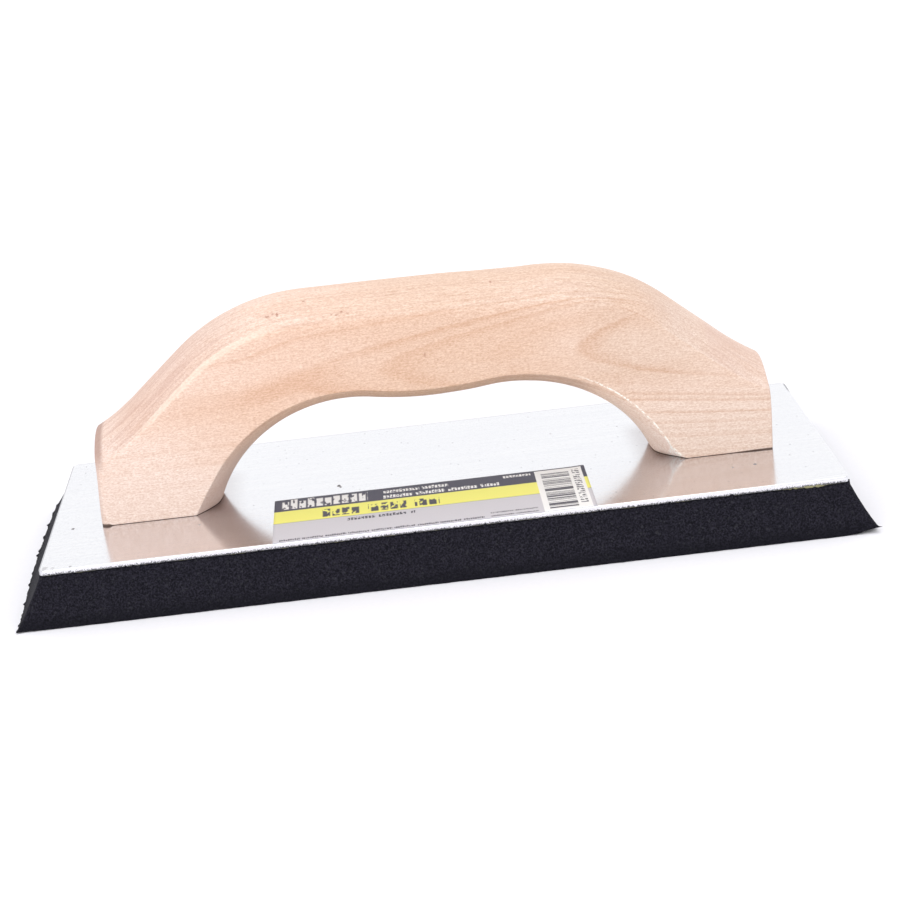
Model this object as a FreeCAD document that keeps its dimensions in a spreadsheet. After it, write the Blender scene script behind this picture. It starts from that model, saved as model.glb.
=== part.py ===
import FreeCAD, Part
import math
import os
import Sketcher
from FreeCAD import Vector

# Hand float: a wooden handle screwed to an aluminium plate, with a rubber pad bonded
# underneath.  Millimetres.  The origin is the centre of the pad's working face, X runs
# along the float, Y across it and Z up towards the handle.

doc = FreeCAD.newDocument("hand_float")
sheet = doc.addObject("Spreadsheet::Sheet", "sizes")

DIMENSIONS = [
    ("plate_length", 228.6, "backing plate along X, 9 in"),
    ("plate_width", 88.9, "backing plate along Y, 3-1/2 in"),
    ("plate_thick", 1.6, "backing plate sheet"),
    ("plate_corner", 2.0, "plan radius of the plate's corners"),
    ("plate_edge_round", 0.4, "rolled edge round the plate's top face"),
    ("pad_height", 13.3, "rubber pad from working face to adhesive"),
    ("pad_flare", 6.35, "how far the working face stands out past the plate, 1/4 in"),
    ("pad_corner", 1.5, "radius of the pad's four slanting corners"),
    ("film_thick", 0.3, "contact adhesive"),
    ("film_inset", 0.4, "adhesive held back from the plate's edge"),
    ("label_length", 91.6, "sticker along X"),
    ("label_width", 33.7, "sticker along Y"),
    ("label_thick", 0.12, "sticker paper"),
    ("label_left", 48.6, "sticker's left edge from the centre line"),
    ("label_front", 44.4, "sticker's front edge from the centre line"),
    ("handle_length", 197.6, "handle over its end faces"),
    ("handle_thick", 30.0, "board the handle is cut from"),
    ("handle_height", 60.0, "crest above the plate"),
    ("crest_half", 33.7, "half length of the level crest"),
    ("shoulder_radius", 59.0, "crest rolling over into the slope"),
    ("shoulder_angle", 40.2, "slope of the shoulders below level, degrees"),
    ("heel_start", 84.3, "X where the slope turns into the heel curve"),
    ("heel_radius", 82.0, "hollow curve running out to the end face"),
    ("arch_radius", 43.5, "finger arch of the hand opening"),
    ("arch_centre", 24.0, "X of the finger arch's centre"),
    ("arch_apex", 27.2, "top of the finger arch above the plate"),
    ("belly_radius", 101.5, "palm swell hanging down between the two arches"),
    ("crown_radius", 21.0, "rounding across the top of the handle"),
    ("grip_radius", 23.5, "rounding across the underside of the grip"),
    ("saw_margin", 1.5, "wood left on the sawn blank for the round-over cuts"),
    ("cutter_depth", 4.0, "height of the round-over cutter outside its finished surface"),
    ("cutter_margin", 1.0, "how far the cutter reaches past each face of the board"),
    ("overrun", 8.0, "cutter travel past the wood"),
    ("end_corner", 0.8, "eased upright corners of the end faces"),
    ("screw_x", 84.0, "screws from the centre line along X"),
    ("screw_y", 7.0, "screws from the centre line along Y"),
    ("screw_length", 19.05, "No. 6 x 3/4 in wood screw"),
    ("screw_recess", 0.2, "screw head below the plate's underside"),
    ("head_diameter", 6.6, "countersunk head"),
    ("head_rim", 0.25, "straight rim of the head"),
    ("cone_angle", 82.0, "full angle of the countersink, degrees"),
    ("shank_diameter", 3.5, "smooth shank and thread crest"),
    ("root_diameter", 2.4, "thread root"),
    ("thread_pitch", 1.41, "18 threads to the inch"),
    ("thread_start", 6.0, "head face to the first thread"),
    ("thread_turns", 7, "turns before the point"),
    ("thread_runout", 0.3, "shank tapering down to the first root"),
    ("root_share", 0.5, "share of a pitch that is root"),
    ("crest_share", 0.75, "share of a pitch at which the thread is full"),
    ("recess_depth", 1.5, "cross recess in the head"),
    ("recess_span", 3.4, "cross recess over its wings"),
    ("recess_wing", 0.9, "width of one wing"),
    ("plate_hole", 4.8, "screw hole at the plate's top face"),
    ("plate_sink", 7.5, "countersink at the plate's underside"),
    ("pilot_diameter", 3.56, "screw hole in the wood"),
    ("pilot_depth", 19.2, "depth of the screw hole in the wood"),
    ("pilot_sink", 4.9, "mouth of the screw hole in the wood"),
]

for row, (alias, number, meaning) in enumerate(DIMENSIONS, start=1):
    sheet.set(f"A{row}", meaning)
    sheet.set(f"B{row}", str(number))
    sheet.setAlias(f"B{row}", alias)
doc.recompute()

# Heights that the pieces stack up to, as expressions of the sheet.
PLATE_UNDER = "sizes.pad_height + sizes.film_thick"
PLATE_TOP = PLATE_UNDER + " + sizes.plate_thick"

# How far an edge's bounding box may be off a plane and still count as lying on it.
NEAR = 0.01

# Least volume in cubic mm that each cutting feature has to take away.
LEAST_CUT = {
    "crown": 5000,
    "grip_rounding": 3000,
    "pilot_holes": 300,
    "plate_holes": 100,
    "screw_front_left_recess": 4,
}

nodes = []


def size(expression):
    """Number that a sheet expression comes to."""
    return float(sheet.evalExpression(expression))


def opposite(expression):
    """Sheet expression with the other sign."""
    if expression.startswith("-"):
        return expression[1:]
    return "-" + expression


def keep(piece, name):
    """Name a finished sub-part, which is written to the file of that name."""
    piece.Label = name
    nodes.append(piece)
    return piece


def place(piece, x="0", y="0", z="0"):
    """Bind a sub-part's position to the sheet."""
    for axis, expression in (("x", x), ("y", y), ("z", z)):
        piece.setExpression(f"Placement.Base.{axis}", expression)


def new_body(name):
    """Empty body for one sub-part."""
    return keep(doc.addObject("PartDesign::Body", name), name)


def origin_plane(body, role):
    """One of the body's own origin planes."""
    for feature in body.Origin.OriginFeatures:
        if feature.Role == role:
            return feature
    raise ValueError(role)


def new_sketch(body, name, role, offset="0"):
    """Sketch on an origin plane of its body, moved along the plane's normal."""
    sketch = body.newObject("Sketcher::SketchObject", name)
    sketch.AttachmentSupport = [(origin_plane(body, role), "")]
    sketch.MapMode = "FlatFace"
    sketch.setExpression("AttachmentOffset.Base.z", offset)
    return sketch


def constraint_value(kind, expression):
    """Start value of a dimension: angles are stored in radians."""
    number = size(expression)
    if kind == "Angle":
        return math.radians(number)
    return number


def bind(sketch, kind, *arguments, to):
    """Add a dimension to a sketch and bind it to a sheet expression."""
    index = sketch.addConstraint(Sketcher.Constraint(kind, *arguments, constraint_value(kind, to)))
    sketch.setExpression(f"Constraints[{index}]", to)


def pin(sketch, curve, end, x=None, y=None):
    """Hold a point of a curve at sheet expressions measured from the sketch's origin."""
    for kind, axis, expression in (("DistanceX", -2, x), ("DistanceY", -1, y)):
        if expression == "0":
            sketch.addConstraint(Sketcher.Constraint("PointOnObject", curve, end, axis))
        elif expression is not None:
            bind(sketch, kind, -1, 1, curve, end, to=expression)


def add_polygon(sketch, corners):
    """Closed outline through corners, each a pair of sheet expressions."""
    first = sketch.GeometryCount
    count = len(corners)
    points = [Vector(size(x), size(y), 0) for x, y in corners]
    for i in range(count):
        sketch.addGeometry(Part.LineSegment(points[i], points[(i + 1) % count]), False)
    for i in range(count):
        after = first + (i + 1) % count
        sketch.addConstraint(Sketcher.Constraint("Coincident", first + i, 2, after, 1))
    for i, (x, y) in enumerate(corners):
        pin(sketch, first + i, 1, x, y)


def add_rectangle(sketch, length, width):
    """Rectangle centred on the sketch's origin."""
    right = f"({length}) / 2"
    far = f"({width}) / 2"
    left = opposite(right)
    near = opposite(far)
    corners = [(left, near), (right, near), (right, far), (left, far)]
    add_polygon(sketch, corners)


def add_arc(sketch, centre, radius, start, end):
    """Arc of a circle, counter-clockwise from start to end in radians."""
    circle = Part.Circle(Vector(*centre, 0), Vector(0, 0, 1), radius)
    return sketch.addGeometry(Part.ArcOfCircle(circle, start, end), False)


def add_circle(sketch, x, y, radius):
    """Full circle whose centre and radius are sheet expressions."""
    centre = Vector(size(x), size(y), 0)
    ring = sketch.addGeometry(Part.Circle(centre, Vector(0, 0, 1), size(radius)), False)
    pin(sketch, ring, 3, x, y)
    bind(sketch, "Radius", ring, to=radius)


def add_line(sketch, start, end):
    """Straight line between two points of the sketch."""
    return sketch.addGeometry(Part.LineSegment(Vector(*start, 0), Vector(*end, 0)), False)


def join_smooth(sketch, curve, end, other, other_end):
    """Join two curves end to end without a corner."""
    sketch.addConstraint(Sketcher.Constraint("Tangent", curve, end, other, other_end))


def edges_where(feature, test):
    """Names of the edges of a feature whose bounding box passes a test."""
    names = []
    for index, edge in enumerate(feature.Shape.Edges, start=1):
        if test(edge.BoundBox):
            names.append(f"Edge{index}")
    return names


def fillet(body, name, base, radius, test):
    """Round the edges of a feature that pass a test."""
    doc.recompute()
    rounded = body.newObject("PartDesign::Fillet", name)
    rounded.Base = (base, edges_where(base, test))
    rounded.setExpression("Radius", radius)
    return rounded


# ---- handle ---------------------------------------------------------------------------
# Half of the handle, X from 0 to its end face, is sawn, rounded over and drilled, and then
# mirrored.  Its sketches measure Z from the plate's top face.


def crest_curves(sketch, margin, end_x):
    """Crest, shoulder, slope and heel, moved outwards by margin and ending at end_x."""
    angle = math.radians(size("sizes.shoulder_angle"))
    across = math.sin(angle)
    up = math.cos(angle)
    extra = size(margin)
    crest = size("sizes.handle_height") + extra
    shoulder = size("sizes.shoulder_radius") + extra
    heel = size("sizes.heel_radius") - extra
    turn_x = size("sizes.crest_half")
    slope_x = turn_x + shoulder * across
    slope_z = crest - shoulder * (1 - up)
    heel_x = size("sizes.heel_start") + extra * across
    heel_z = slope_z - (heel_x - slope_x) * across / up
    heel_centre = (heel_x + heel * across, heel_z + heel * up)
    last = math.asin((heel_centre[0] - size(end_x)) / heel)

    level = add_line(sketch, (0, crest), (turn_x, crest))
    roll = add_arc(sketch, (turn_x, crest - shoulder), shoulder, math.pi / 2 - angle, math.pi / 2)
    slope = add_line(sketch, (heel_x, heel_z), (slope_x, slope_z))
    hollow = add_arc(sketch, heel_centre, heel, 1.5 * math.pi - angle, 1.5 * math.pi - last)

    sketch.addConstraint(Sketcher.Constraint("Horizontal", level))
    pin(sketch, level, 1, x="0", y=f"sizes.handle_height + {margin}")
    pin(sketch, level, 2, x="sizes.crest_half")
    join_smooth(sketch, level, 2, roll, 2)
    bind(sketch, "Radius", roll, to=f"sizes.shoulder_radius + {margin}")
    join_smooth(sketch, roll, 1, slope, 2)
    bind(sketch, "Angle", slope, to="180 - sizes.shoulder_angle")
    pin(sketch, slope, 1, x=f"sizes.heel_start + ({margin}) * sin(sizes.shoulder_angle * 1deg)")
    join_smooth(sketch, slope, 1, hollow, 1)
    bind(sketch, "Radius", hollow, to=f"sizes.heel_radius - ({margin})")
    pin(sketch, hollow, 2, x=end_x)
    return level, hollow


def opening_curves(sketch, margin, end_z):
    """Palm swell and finger arch, moved into the opening by margin and ending at end_z."""
    extra = size(margin)
    arch = size("sizes.arch_radius") - extra
    belly = size("sizes.belly_radius") + extra
    arch_x = size("sizes.arch_centre")
    arch_z = size("sizes.arch_apex - sizes.arch_radius")
    rise = math.sqrt((arch + belly) ** 2 - arch_x**2)
    meet = math.atan2(rise, -arch_x)
    low = math.asin((size(end_z) - arch_z) / arch)

    swell = add_arc(sketch, (0, arch_z + rise), belly, -math.pi / 2, meet - math.pi)
    finger = add_arc(sketch, (arch_x, arch_z), arch, low, meet)

    sketch.addConstraint(Sketcher.Constraint("PointOnObject", swell, 3, -2))
    pin(sketch, swell, 1, x="0")
    bind(sketch, "Radius", swell, to=f"sizes.belly_radius + {margin}")
    pin(sketch, finger, 3, x="sizes.arch_centre", y="sizes.arch_apex - sizes.arch_radius")
    bind(sketch, "Radius", finger, to=f"sizes.arch_radius - ({margin})")
    join_smooth(sketch, swell, 2, finger, 2)
    pin(sketch, finger, 1, y=end_z)
    return swell, finger


def sawn_blank(body):
    """Board sawn a little oversize along its top and inside its opening."""
    sketch = new_sketch(body, "blank_outline", "XZ_Plane")
    level, hollow = crest_curves(sketch, "sizes.saw_margin", "sizes.handle_length / 2")
    swell, finger = opening_curves(sketch, "sizes.saw_margin", "0")
    end_top = sketch.getPoint(hollow, 2)
    foot = sketch.getPoint(finger, 1)
    end_face = add_line(sketch, (end_top.x, end_top.y), (end_top.x, 0))
    sole = add_line(sketch, (end_top.x, 0), (foot.x, 0))
    middle_low = sketch.getPoint(swell, 1)
    middle_top = sketch.getPoint(level, 1)
    middle = add_line(sketch, (0, middle_low.y), (0, middle_top.y))
    joints = [(hollow, 2, end_face, 1), (end_face, 2, sole, 1), (sole, 2, finger, 1)]
    joints += [(swell, 1, middle, 1), (middle, 2, level, 1)]
    for joint in joints:
        sketch.addConstraint(Sketcher.Constraint("Coincident", *joint))
    sketch.addConstraint(Sketcher.Constraint("Vertical", end_face))
    sketch.addConstraint(Sketcher.Constraint("Horizontal", sole))
    blank = body.newObject("PartDesign::Pad", "sawn_blank")
    blank.Profile = sketch
    blank.SideType = "Symmetric"
    blank.setExpression("Length", "sizes.handle_thick")
    return blank


def cutter_profile(body, name, top_z, radius, upwards):
    """Section of a round-over cutter: hollow on the wood's side, square outside it.

    The hollow's deepest point is at top_z on the handle's middle plane, and the wood lies
    below it (upwards is 1) or above it (upwards is -1).
    """
    sketch = new_sketch(body, name, "YZ_Plane")
    reach = "(sizes.handle_thick / 2 + sizes.cutter_margin)"
    bore = size(radius)
    side = size(reach)
    apex = size(top_z)
    centre = apex - upwards * bore
    spread = math.asin(side / bore)
    middle = upwards * math.pi / 2
    outer = apex + upwards * size("sizes.cutter_depth")
    rim = centre + upwards * bore * math.cos(spread)

    hollow = add_arc(sketch, (0, centre), bore, middle - spread, middle + spread)
    first = (upwards * side, rim)
    last = (-upwards * side, rim)
    near = add_line(sketch, first, (first[0], outer))
    back = add_line(sketch, (first[0], outer), (last[0], outer))
    far = add_line(sketch, (last[0], outer), last)
    for joint in ((hollow, 1, near, 1), (near, 2, back, 1), (back, 2, far, 1), (far, 2, hollow, 2)):
        sketch.addConstraint(Sketcher.Constraint("Coincident", *joint))
    for line in (near, far):
        sketch.addConstraint(Sketcher.Constraint("Vertical", line))
    sign = "+" if upwards > 0 else "-"
    other = "-" if upwards > 0 else "+"
    pin(sketch, hollow, 3, x="0", y=f"{top_z} {other} {radius}")
    bind(sketch, "Radius", hollow, to=radius)
    pin(sketch, near, 2, x=f"{upwards} * {reach}", y=f"{top_z} {sign} sizes.cutter_depth")
    pin(sketch, back, 2, x=f"{-upwards} * {reach}", y=f"{top_z} {sign} sizes.cutter_depth")
    return sketch


def round_over(body, name, profile, path, edge_count):
    """Run a round-over cutter along a path."""
    doc.recompute()
    cut = body.newObject("PartDesign::SubtractivePipe", name)
    cut.Profile = profile
    cut.Spine = (path, [f"Edge{i + 1}" for i in range(edge_count)])
    return cut


def pilot_holes(body):
    """Screw holes drilled up into the foot through its sole."""
    sketch = new_sketch(body, "pilot_centres", "XY_Plane")
    for across in (-1, 1):
        add_circle(sketch, "sizes.screw_x", f"{across} * sizes.screw_y", "sizes.pilot_diameter / 2")
    drill(body, "pilot_holes", sketch, "pilot_diameter", "pilot_sink", "pilot_depth")


def drill(body, name, sketch, diameter, sink, depth=None):
    """Countersunk holes drilled upwards at the circles of a sketch."""
    doc.recompute()
    hole = body.newObject("PartDesign::Hole", name)
    hole.Profile = sketch
    doc.recompute()
    hole.Reversed = True
    hole.ThreadType = "None"
    hole.HoleCutType = "Countersink"
    hole.HoleCutCustomValues = True
    hole.setExpression("Diameter", f"sizes.{diameter}")
    hole.setExpression("HoleCutDiameter", f"sizes.{sink}")
    hole.setExpression("HoleCutCountersinkAngle", "sizes.cone_angle")
    if depth is None:
        hole.DepthType = "ThroughAll"
    else:
        hole.DepthType = "Dimension"
        hole.DrillPoint = "Angled"
        hole.setExpression("Depth", f"sizes.{depth}")


def wooden_handle():
    """Arched one-piece handle standing on two feet."""
    body = new_body("wooden_handle")
    sawn_blank(body)
    crest_path = new_sketch(body, "crest_path", "XZ_Plane")
    crest_curves(crest_path, "0", "sizes.handle_length / 2 + sizes.overrun")
    crown = cutter_profile(body, "crown_cutter", "sizes.handle_height", "sizes.crown_radius", 1)
    round_over(body, "crown", crown, crest_path, 4)

    opening_path = new_sketch(body, "opening_path", "XZ_Plane")
    opening_curves(opening_path, "0", "-sizes.overrun")
    rise = "sqrt((sizes.arch_radius + sizes.belly_radius)^2 - sizes.arch_centre^2)"
    low = f"(sizes.arch_apex - sizes.arch_radius + {rise} - sizes.belly_radius)"
    grip = cutter_profile(body, "grip_cutter", low, "sizes.grip_radius", -1)
    grip_rounding = round_over(body, "grip_rounding", grip, opening_path, 2)

    half_thick = size("sizes.handle_thick") / 2
    end = size("sizes.handle_length") / 2

    def upright_corner(box):
        on_end = box.XMin > end - NEAR
        on_face = abs(box.YMin) > half_thick - NEAR
        return on_end and on_face and box.YLength < NEAR

    fillet(body, "end_corners", grip_rounding, "sizes.end_corner", upright_corner)
    pilot_holes(body)
    doc.recompute()
    mirror = body.newObject("PartDesign::Mirrored", "both_halves")
    mirror.TransformMode = "Whole shape"
    mirror.MirrorPlane = (origin_plane(body, "YZ_Plane"), [""])
    mirror.Originals = []
    body.Tip = mirror
    place(body, z=PLATE_TOP)


# ---- plate, adhesive, pad and label ---------------------------------------------------


def screw_circles(body, name, radius):
    """Sketch on the body's XY plane with one circle at each of the four screws."""
    sketch = new_sketch(body, name, "XY_Plane")
    for along in (-1, 1):
        for across in (-1, 1):
            add_circle(sketch, f"{along} * sizes.screw_x", f"{across} * sizes.screw_y", radius)
    return sketch


def backing_plate():
    """Aluminium sheet with rounded corners, a rolled top edge and four countersunk holes."""
    body = new_body("backing_plate")
    outline = new_sketch(body, "plate_outline", "XY_Plane")
    add_rectangle(outline, "sizes.plate_length", "sizes.plate_width")
    sheet_metal = body.newObject("PartDesign::Pad", "plate_sheet")
    sheet_metal.Profile = outline
    sheet_metal.setExpression("Length", "sizes.plate_thick")
    thick = size("sizes.plate_thick")

    def upright(box):
        return box.ZLength > thick - NEAR

    def on_top(box):
        return box.ZMin > thick - NEAR

    corners = fillet(body, "plate_corners", sheet_metal, "sizes.plate_corner", upright)
    fillet(body, "plate_top_edge", corners, "sizes.plate_edge_round", on_top)
    circles = screw_circles(body, "plate_hole_centres", "sizes.plate_hole / 2")
    drill(body, "plate_holes", circles, "plate_hole", "plate_sink")
    place(body, z=PLATE_UNDER)


def adhesive_film():
    """Contact adhesive between the plate and the pad."""
    film = keep(doc.addObject("Part::Box", "film"), "adhesive_film")
    length = "(sizes.plate_length - 2 * sizes.film_inset)"
    width = "(sizes.plate_width - 2 * sizes.film_inset)"
    film.setExpression("Length", length)
    film.setExpression("Width", width)
    film.setExpression("Height", "sizes.film_thick")
    place(film, x=f"-{length} / 2", y=f"-{width} / 2", z="sizes.pad_height")


def rubber_pad():
    """Closed-cell rubber pad, plate sized at the top and flaring out to the working face."""
    body = new_body("rubber_pad")
    face = new_sketch(body, "working_face", "XY_Plane")
    length = "sizes.plate_length + 2 * sizes.pad_flare"
    width = "sizes.plate_width + 2 * sizes.pad_flare"
    add_rectangle(face, length, width)
    block = body.newObject("PartDesign::Pad", "pad_block")
    block.Profile = face
    block.setExpression("Length", "sizes.pad_height")
    block.setExpression("TaperAngle", "-atan(sizes.pad_flare / sizes.pad_height)")
    height = size("sizes.pad_height")

    def slanting(box):
        return box.ZLength > height - NEAR

    fillet(body, "pad_corners", block, "sizes.pad_corner", slanting)


def product_label():
    """Paper sticker on the plate in front of the hand opening."""
    label = keep(doc.addObject("Part::Box", "sticker"), "product_label")
    label.setExpression("Length", "sizes.label_length")
    label.setExpression("Width", "sizes.label_width")
    label.setExpression("Height", "sizes.label_thick")
    place(label, x="-sizes.label_left", y="-sizes.label_front", z=PLATE_TOP)


# ---- screws ---------------------------------------------------------------------------


def screw_profile():
    """Half section of a wood screw, head face at Y 0 and the point upwards.

    The thread is drawn as one ridge for each turn.
    """
    shank = "sizes.shank_diameter / 2"
    root = "sizes.root_diameter / 2"
    rim = "sizes.head_diameter / 2"
    cone = f"({rim} - {shank}) / tan(sizes.cone_angle * 1deg / 2)"
    corners = [("0", "0"), (rim, "0"), (rim, "sizes.head_rim")]
    corners.append((shank, f"sizes.head_rim + {cone}"))
    corners.append((shank, "sizes.thread_start - sizes.thread_runout"))
    for turn in range(int(size("sizes.thread_turns"))):
        foot = f"sizes.thread_start + {turn} * sizes.thread_pitch"
        corners.append((root, foot))
        corners.append((root, f"{foot} + sizes.root_share * sizes.thread_pitch"))
        corners.append((shank, f"{foot} + sizes.crest_share * sizes.thread_pitch"))
    end = "sizes.thread_start + sizes.thread_turns * sizes.thread_pitch"
    corners += [(root, end), ("0", "sizes.screw_length")]
    return corners


def wood_screw(name, along, across):
    """Countersunk wood screw driven up through the plate into a foot of the handle."""
    body = new_body(name)
    section = new_sketch(body, f"{name}_section", "XZ_Plane")
    add_polygon(section, screw_profile())
    turned = body.newObject("PartDesign::Revolution", f"{name}_turned")
    turned.Profile = section
    turned.ReferenceAxis = (section, ["V_Axis"])
    turned.Angle = 360
    cross = new_sketch(body, f"{name}_cross", "XY_Plane")
    span = "sizes.recess_span / 2"
    wing = "sizes.recess_wing / 2"
    quarter = [(span, "-" + wing), (span, wing), (wing, wing)]
    corners = []
    for turn in range(4):
        corners += quarter
        quarter = [(opposite(y), x) for x, y in quarter]
    add_polygon(cross, corners)
    recess = body.newObject("PartDesign::Pocket", f"{name}_recess")
    recess.Profile = cross
    recess.Reversed = True
    recess.setExpression("Length", "sizes.recess_depth")
    x = f"{along} * sizes.screw_x"
    y = f"{across} * sizes.screw_y"
    place(body, x=x, y=y, z=PLATE_UNDER + " + sizes.screw_recess")


# ---- build, check and write -----------------------------------------------------------


def check_document():
    """Stop if any object failed or any sub-part isn't one or more valid solids."""
    for item in doc.Objects:
        if "Invalid" in item.State or "Error" in item.State:
            raise RuntimeError(f"{item.Name} failed: {item.State}")
    for piece in nodes:
        shape = piece.Shape
        if shape.isNull() or not shape.isValid() or len(shape.Solids) != 1:
            raise RuntimeError(f"{piece.Label} is not one valid solid")


def check_removed(feature_name, least):
    """Stop if a cutting feature took away less wood, metal or rubber than it should."""
    feature = doc.getObject(feature_name)
    removed = feature.BaseFeature.Shape.Volume - feature.Shape.Volume
    if removed < least:
        raise RuntimeError(f"{feature_name} removed only {removed:.2f} cubic mm")


wooden_handle()
backing_plate()
adhesive_film()
rubber_pad()
product_label()
wood_screw("screw_front_left", -1, -1)
wood_screw("screw_rear_left", -1, 1)
wood_screw("screw_front_right", 1, -1)
wood_screw("screw_rear_right", 1, 1)
doc.recompute()

check_document()
for feature_name, least in LEAST_CUT.items():
    check_removed(feature_name, least)

os.makedirs("parts", exist_ok=True)
for piece in nodes:
    piece.Shape.exportStep(f"parts/{piece.Label}.step")
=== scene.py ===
import math
import random

import bpy
import numpy as np
from mathutils import Matrix, Vector


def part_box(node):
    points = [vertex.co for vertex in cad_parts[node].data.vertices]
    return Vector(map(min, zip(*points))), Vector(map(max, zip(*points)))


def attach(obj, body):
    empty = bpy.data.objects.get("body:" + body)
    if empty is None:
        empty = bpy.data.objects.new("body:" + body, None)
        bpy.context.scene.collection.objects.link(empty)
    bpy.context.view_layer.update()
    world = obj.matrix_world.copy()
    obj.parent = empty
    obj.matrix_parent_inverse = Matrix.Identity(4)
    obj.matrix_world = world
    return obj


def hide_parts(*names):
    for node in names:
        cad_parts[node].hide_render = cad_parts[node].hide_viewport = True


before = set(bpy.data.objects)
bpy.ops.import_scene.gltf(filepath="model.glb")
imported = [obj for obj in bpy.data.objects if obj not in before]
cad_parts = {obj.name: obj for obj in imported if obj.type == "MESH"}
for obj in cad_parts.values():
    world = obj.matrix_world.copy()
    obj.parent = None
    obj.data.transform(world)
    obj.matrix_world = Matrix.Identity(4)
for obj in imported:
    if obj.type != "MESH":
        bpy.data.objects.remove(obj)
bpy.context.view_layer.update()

MM = 0.001
SEED = 41


# -------- where the CAD puts things

def box_mm(node):
    """Lowest and highest corner of a CAD node, in millimetres."""
    low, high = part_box(node)
    return np.array(low) / MM, np.array(high) / MM


HANDLE_LOW, HANDLE_HIGH = box_mm("wooden_handle")
PLATE_LOW, PLATE_HIGH = box_mm("backing_plate")
PAD_HIGH = box_mm("rubber_pad")[1]
FILM_LOW, FILM_HIGH = box_mm("adhesive_film")
LABEL_LOW, LABEL_HIGH = box_mm("product_label")
PLATE_TOP = float(HANDLE_LOW[2])

# Curves of the handle's outline, as they are in the CAD.
HALF_LENGTH = float(HANDLE_HIGH[0])
HALF_WIDTH = float(HANDLE_HIGH[1])
HEIGHT = float(HANDLE_HIGH[2] - HANDLE_LOW[2])
CREST_HALF = 33.7
SHOULDER_RADIUS = 59.0
SLOPE = math.radians(40.2)
HEEL_START = 84.3
HEEL_RADIUS = 82.0
END_CORNER = 0.9
ARCH_RADIUS = 43.5
ARCH_X = 24.0
ARCH_Z = 27.2 - ARCH_RADIUS
BELLY_RADIUS = 101.5
BELLY_Z = ARCH_Z + math.sqrt((ARCH_RADIUS + BELLY_RADIUS) ** 2 - ARCH_X ** 2)
CROWN_RADIUS = 21.0
GRIP_RADIUS = 23.5
FOOT_START, FOOT_MIDDLE = 50.0, 81.5


# -------- mesh helpers

def smooth_step(value):
    value = np.clip(value, 0.0, 1.0)
    return value * value * (3.0 - 2.0 * value)


def wobble(position, wavelength, seed):
    """Smooth noise from -1 to 1 along a line, the same on every run."""
    draw = random.Random(seed)
    total = np.zeros(np.shape(position))
    for octave in range(4):
        reach = wavelength / 1.9 ** octave
        phase = draw.uniform(0.0, math.tau)
        total = total + np.sin(np.asarray(position) * math.tau / reach + phase) / 1.6 ** octave
    return total / 2.2


def new_piece(name, points, faces, material, replaced):
    """Mesh piece from points in millimetres, standing for a CAD node."""
    mesh = bpy.data.meshes.new(name)
    mesh.from_pydata([tuple(p) for p in np.asarray(points) * MM], [], faces)
    mesh.validate()
    mesh.polygons.foreach_set("use_smooth", [True] * len(mesh.polygons))
    mesh.materials.append(material)
    piece = bpy.data.objects.new(name, mesh)
    bpy.context.scene.collection.objects.link(piece)
    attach(piece, "root")
    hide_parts(replaced)


def ring_faces(rings, count):
    """Quads between successive closed rings of count points."""
    faces = []
    for lower in range(0, (rings - 1) * count, count):
        upper = lower + count
        for k in range(count):
            following = (k + 1) % count
            faces.append([lower + k, lower + following, upper + following, upper + k])
    return faces


def arc(centre, radius, angles):
    """Points round a centre, at angles from the upright towards +X."""
    x, z = centre
    return [(x + radius * math.sin(a), z + radius * math.cos(a)) for a in angles]


# -------- handle shape

def section(radius, rounding, arc_columns=23, round_columns=6):
    """Points across the board's thickness: (y, depth below the outline), front to back."""
    centre = HALF_WIDTH - rounding
    depth = radius - math.sqrt((radius - rounding) ** 2 - centre ** 2)
    reach = math.atan2(centre, radius - depth)
    ends = [reach * share for share in (0.99, 0.96)]
    middle = list(np.linspace(0.90 * reach, 0.0, arc_columns // 2 + 1))
    half = [(radius * math.sin(a), radius - radius * math.cos(a)) for a in ends + middle]
    corner = []
    for step in range(round_columns + 1):
        a = reach + (math.pi / 2 - reach) * step / round_columns
        corner.append((centre + rounding * math.sin(a), depth - rounding * math.cos(a)))
    half = corner[::-1] + half
    front = [(-y, d) for y, d in half]
    back = [(y, d) for y, d in half[-2::-1]]
    return np.array(front + back)


def end_face_x(y, rounding):
    """Where the upright end face stands at y, its edges eased."""
    inside = HALF_WIDTH - rounding
    past = np.clip(np.abs(y) - inside, 0.0, rounding)
    return HALF_LENGTH - (rounding - math.sqrt(max(rounding ** 2 - float(past) ** 2, 0.0)))


SOLE_HEIGHTS = [0.0, 0.12, 0.28, 0.5]

# How far the crown's edges are sanded over, 0 crisp to 1 well rounded, at places along X.
WEAR_X = [-98.0, -90.0, -80.0, -65.0, -50.0, -38.0, -25.0, 0.0, 25.0, 38.0, 48.0, 56.0, 98.0]
WEAR = [0.25, 0.36, 0.52, 0.60, 0.70, 0.84, 0.94, 1.0, 0.96, 0.78, 0.38, 0.10, 0.04]
CRISP_EDGE, SANDED_EDGE, GRIP_EDGE = 0.55, 6.0, 0.6

# The board is not quite symmetrical: how much lower it hangs than the CAD's curves, in mm along X,
# and how far out each end face stands at heights above the plate, since neither was sawn square.
SAG_X = [-98.0, -93.0, -84.0, -61.0, -16.0, 7.0, 18.0, 30.0, 41.0, 52.0, 64.0, 85.0, 91.0, 98.0]
SAG = [0.35, 0.40, 0.20, 0.05, 0.12, 0.32, 0.75, 1.00, 0.80, 0.50, 0.05, 0.0, 0.35, 0.75]
END_HEIGHTS = [0.0, 4.0, 10.0, 16.0, 22.0]
LEFT_END = [0.60, 0.50, 0.15, -0.20, -0.35]
RIGHT_END = [-0.10, 0.0, 0.15, 0.15, -0.20]

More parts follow.
